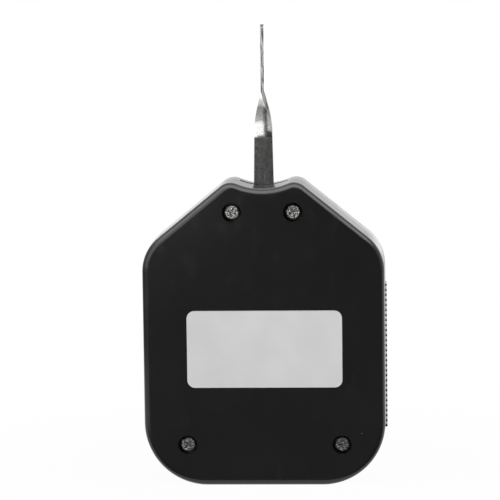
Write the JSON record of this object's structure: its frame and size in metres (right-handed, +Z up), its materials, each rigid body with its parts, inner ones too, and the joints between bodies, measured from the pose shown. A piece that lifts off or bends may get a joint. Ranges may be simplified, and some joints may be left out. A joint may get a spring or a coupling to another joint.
{
  "type": "force gauge",
  "caption": "Hand-held dial tension gauge: moulded case, a twisted feeler lever that swings at the top, geared movement, dial with pointer under a turning bezel.",
  "frame": {"origin": "centre of the flat base of the case, halfway through the whole depth", "axes": "+Z up along the feeler lever, -Y out of the dial, +Y out of the back cover"},
  "size_m": [0.0632, 0.022, 0.1185],
  "materials": {
    "case_plastic": "moulded, fine satin grain",
    "bezel_plastic": "moulded, smooth",
    "plated_steel": "nickel plated, a little worn",
    "label_film": "blank printed film",
    "brass": "stamped and turned",
    "blade_steel": "ground lengthwise",
    "turned_steel": "turned",
    "spring_steel": "tempered",
    "dial_enamel": "matt white",
    "pointer_enamel": "matt black",
    "clear_lens": "clear moulded acrylic"
  },
  "bodies": {
    "case": {"back_cover": "case_plastic", "front_case": "case_plastic", "case_screws": "plated_steel", "blank_label": "label_film", "rear_plate": "brass", "front_plate": "brass", "plate_pillars": "brass", "plate_screws": "plated_steel", "movement_screws": "plated_steel", "lever_bushes": "brass", "pointer_bushes": "brass", "travel_stops": "turned_steel", "main_spring": "spring_steel", "main_spring_stud": "turned_steel", "hairspring": "spring_steel", "hairspring_stud": "turned_steel", "bezel_snap_ring": "spring_steel", "zero_stop_pin": "turned_steel"},
    "lever": {"feeler_lever": "blade_steel", "lever_hub": "brass", "lever_shaft": "turned_steel", "lever_rivets": "turned_steel", "sector_gear": "brass", "counterweight": "brass", "main_spring_collet": "brass"},
    "pointer": {"pointer_arbor": "turned_steel", "pinion": "turned_steel", "hairspring_collet": "brass", "pointer": "pointer_enamel", "pointer_hub": "pointer_enamel"},
    "bezel": {"bezel_ring": "bezel_plastic", "lens": "clear_lens", "lens_spacer": "bezel_plastic", "dial_plate": "dial_enamel"}
  },
  "joints": [
    {"name": "lever_swing", "type": "hinge", "parent": "case", "child": "lever", "pos_m": [0, 0, 0.0583], "axis": [0, 1, 0], "range_deg": [-10, 10], "stiffness_Nm_per_rad": 0.033, "deforming": ["main_spring"]},
    {"name": "pointer_turn", "type": "hinge", "parent": "case", "child": "pointer", "pos_m": [0, 0, 0.031], "axis": [0, 1, 0], "continuous": true, "deforming": ["hairspring"]},
    {"name": "bezel_turn", "type": "hinge", "parent": "case", "child": "bezel", "pos_m": [0, -0.0095, 0.031], "axis": [0, 1, 0], "range_deg": [-12, 12]}
  ],
  "couplings": [
    {"joint": "pointer_turn", "follows": "lever_swing", "ratio": -12}
  ]
}
